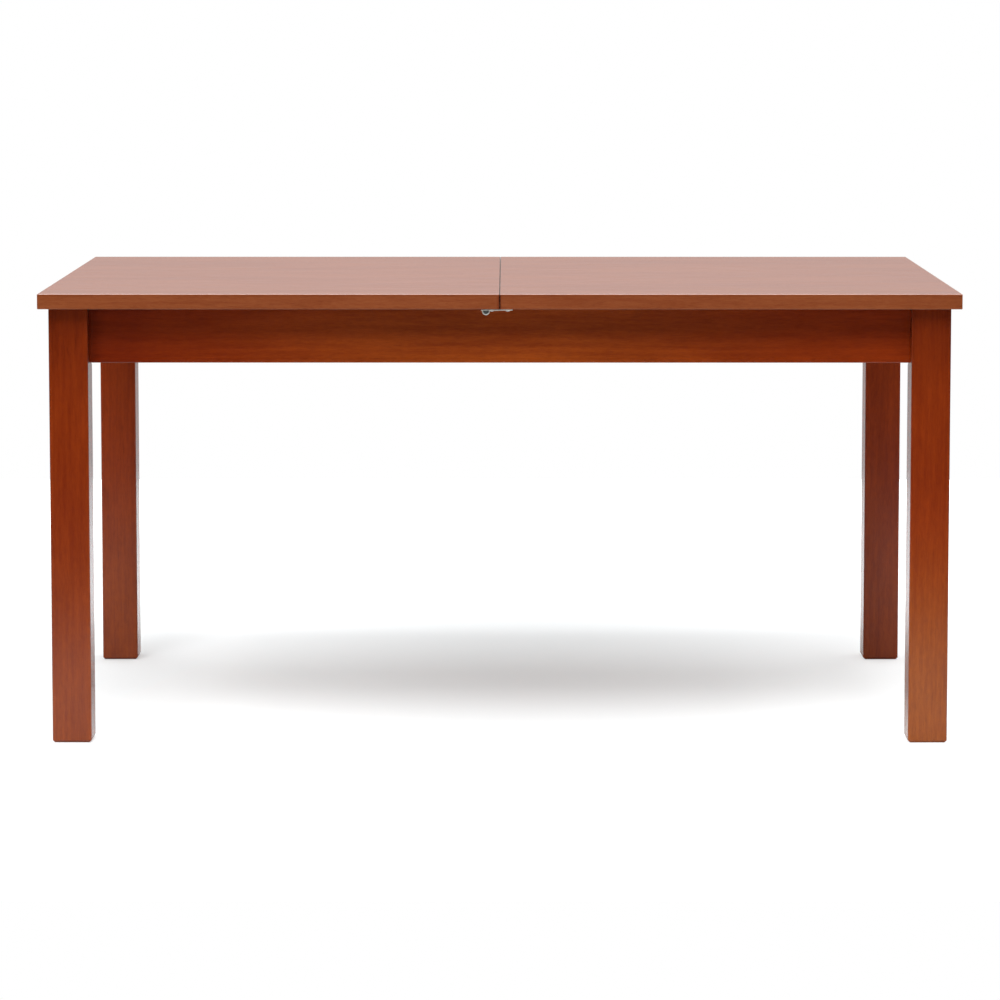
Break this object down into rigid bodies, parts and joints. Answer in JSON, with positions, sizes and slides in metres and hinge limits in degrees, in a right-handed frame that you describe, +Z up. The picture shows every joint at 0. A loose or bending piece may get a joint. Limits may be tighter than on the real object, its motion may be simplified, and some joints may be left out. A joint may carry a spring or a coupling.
{
  "type": "extending dining table",
  "caption": "Rectangular dining table with a fixed frame and a split top that slides apart on dovetailed runners, to take a folding leaf stored under the seam.",
  "frame": {"origin": "on the floor, under the middle of the closed top", "axes": "+X along the table to the right as the picture shows it, +Y from the front edge to the rear edge, +Z up"},
  "size_m": [1.5, 0.9, 0.74],
  "materials": {
    "top_lacquer": "glossy clear lacquer over reddish brown stained veneer",
    "frame_lacquer": "glossy clear lacquer over reddish brown stained hardwood",
    "bare_hardwood": "planed beech, unfinished",
    "nickel_steel": "satin nickel plate",
    "zinc_steel": "bright zinc plate",
    "brass": "turned brass"
  },
  "bodies": {
    "frame": {"apron_front": "frame_lacquer", "apron_left": "frame_lacquer", "apron_rear": "frame_lacquer", "apron_right": "frame_lacquer", "corner_block_front_left": "bare_hardwood", "corner_block_front_right": "bare_hardwood", "corner_block_rear_left": "bare_hardwood", "corner_block_rear_right": "bare_hardwood", "corner_block_screws": "zinc_steel", "cross_rail_left": "bare_hardwood", "cross_rail_right": "bare_hardwood", "hanger_bolts": "zinc_steel", "hanger_nuts": "zinc_steel", "hanger_washers": "zinc_steel", "leaf_batten_left": "bare_hardwood", "leaf_batten_right": "bare_hardwood", "leaf_batten_screws": "zinc_steel", "leg_front_left": "frame_lacquer", "leg_front_right": "frame_lacquer", "leg_rear_left": "frame_lacquer", "leg_rear_right": "frame_lacquer", "pivot_plate_left": "zinc_steel", "pivot_plate_right": "zinc_steel", "pivot_plate_screws": "zinc_steel", "slide_beam_front": "bare_hardwood", "slide_beam_rear": "bare_hardwood", "slide_beam_screws": "zinc_steel"},
    "top_left": {"catch_pivot_left": "nickel_steel", "catch_stud_left": "nickel_steel", "catch_washer_left": "nickel_steel", "edge_pins_left": "bare_hardwood", "runner_inner_left": "bare_hardwood", "runner_outer_left": "bare_hardwood", "runner_screws_left": "zinc_steel", "stop_blocks_left": "bare_hardwood", "top_panel_left": "top_lacquer"},
    "top_right": {"catch_pivot_right": "nickel_steel", "catch_stud_right": "nickel_steel", "catch_washer_right": "nickel_steel", "edge_pins_right": "bare_hardwood", "runner_inner_right": "bare_hardwood", "runner_outer_right": "bare_hardwood", "runner_screws_right": "zinc_steel", "stop_blocks_right": "bare_hardwood", "top_panel_right": "top_lacquer"},
    "catch_front": {"catch_hook_front": "nickel_steel"},
    "catch_rear": {"catch_hook_rear": "nickel_steel"},
    "leaf": {"bracket_screws": "zinc_steel", "hinge_barrels_lower": "brass", "hinge_barrels_upper": "brass", "hinge_links": "brass", "hinge_pins": "brass", "leaf_panel_lower": "top_lacquer", "leaf_panel_upper": "top_lacquer", "leaf_pins_lower": "bare_hardwood", "leaf_pins_upper": "bare_hardwood", "pivot_bracket_left": "zinc_steel", "pivot_bracket_right": "zinc_steel", "pivot_pins": "zinc_steel"}
  },
  "joints": [
    {"name": "top_left_slide", "type": "slide", "parent": "frame", "child": "top_left", "axis": [-1, 0, 0], "range_m": [0, 0.205]},
    {"name": "top_right_slide", "type": "slide", "parent": "frame", "child": "top_right", "axis": [1, 0, 0], "range_m": [0, 0.205]},
    {"name": "catch_front_turn", "type": "hinge", "parent": "top_right", "child": "catch_front", "pos_m": [0.0129, -0.428, 0.7128], "axis": [0, 0, 1], "range_deg": [-15, 75]},
    {"name": "catch_rear_turn", "type": "hinge", "parent": "top_left", "child": "catch_rear", "pos_m": [-0.0129, 0.428, 0.7128], "axis": [0, 0, 1], "range_deg": [-15, 75]},
    {"name": "leaf_turn", "type": "hinge", "parent": "frame", "child": "leaf", "pos_m": [0, 0.1125, 0.7075], "axis": [-1, 0, 0], "range_deg": [0, 2.4]}
  ]
}
